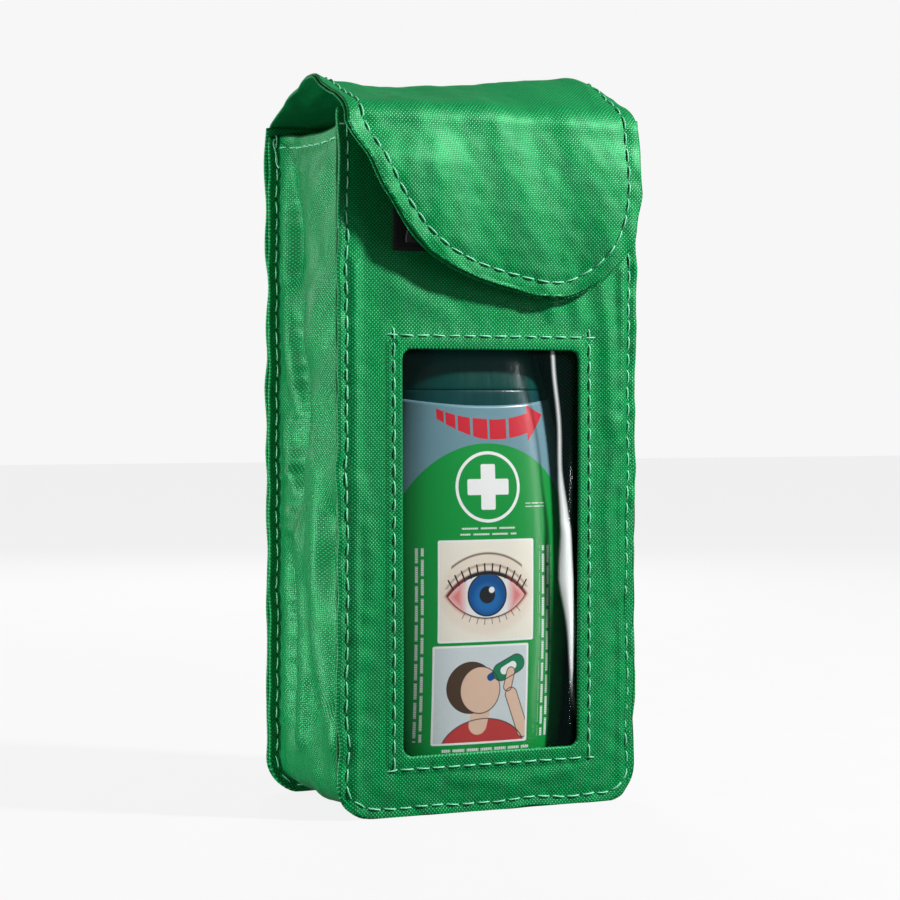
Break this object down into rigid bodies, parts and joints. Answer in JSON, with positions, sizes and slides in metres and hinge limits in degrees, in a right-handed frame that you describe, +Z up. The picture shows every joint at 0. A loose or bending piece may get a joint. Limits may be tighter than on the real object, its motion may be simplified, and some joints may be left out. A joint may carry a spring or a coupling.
{
  "type": "eyewash station",
  "caption": "Green belt pouch with a clear window and a lift-up flap, holding a twist-top eyewash bottle with an eye cup, and a press-stud belt strap.",
  "frame": {"origin": "on the ground, under the middle of the whole object's box", "axes": "+Z up along the height, front with the window towards -Y, +X to the right seen from the front"},
  "size_m": [0.095, 0.0692, 0.2126],
  "materials": {
    "pouch_fabric": "satin",
    "lining_fabric": "matte",
    "strap_webbing": "matte",
    "hook_and_loop": "matte",
    "clear_film": "gloss",
    "stud_metal": "satin",
    "bottle_plastic": "satin",
    "cap_plastic": "gloss",
    "cup_plastic": "satin",
    "saline": "gloss",
    "label_film": "satin",
    "seal_rubber": "matte"
  },
  "bodies": {
    "pouch": {"front_panel": "pouch_fabric", "back_panel": "pouch_fabric", "side_gusset": "pouch_fabric", "gusset_hems": "lining_fabric", "window_film": "clear_film", "closure_hook_patch": "hook_and_loop", "strap_anchor": "pouch_fabric", "stud_patch": "pouch_fabric", "snap_stud": "stud_metal", "snap_rivet": "stud_metal"},
    "flap": {"flap_outer": "pouch_fabric", "flap_lining": "lining_fabric", "closure_loop_patch": "hook_and_loop"},
    "bottle": {"bottle_body": "bottle_plastic", "front_label": "label_film", "back_label": "label_film", "saline_fill": "saline", "neck_seal": "seal_rubber", "spray_nozzle": "cup_plastic", "eye_cup": "cup_plastic"},
    "cap": {"cap_shell": "cap_plastic", "cap_seal": "seal_rubber"},
    "strap": {"belt_strap": "strap_webbing", "snap_cap": "stud_metal", "snap_socket": "stud_metal"}
  },
  "joints": [
    {"name": "bottle_lift", "type": "slide", "parent": "pouch", "child": "bottle", "axis": [0, 0, 1], "range_m": [0, 0.196]},
    {"name": "flap_open", "type": "hinge", "parent": "pouch", "child": "flap", "pos_m": [0, 0.0268, 0.2011], "axis": [-1, 0, 0], "range_deg": [0, 215]},
    {"name": "cap_twist", "type": "hinge", "parent": "bottle", "child": "cap", "pos_m": [0, -0.0057, 0.1214], "axis": [0, 0, 1], "range_deg": [0, 22]},
    {"name": "belt_strap_open", "type": "hinge", "parent": "pouch", "child": "strap", "pos_m": [0, 0.0284, 0.1577], "axis": [1, 0, 0], "range_deg": [0, 75]}
  ],
  "couplings": [
    {"joint": "flap_open", "follows": "bottle_lift", "rad_per_m": 19.14}
  ]
}
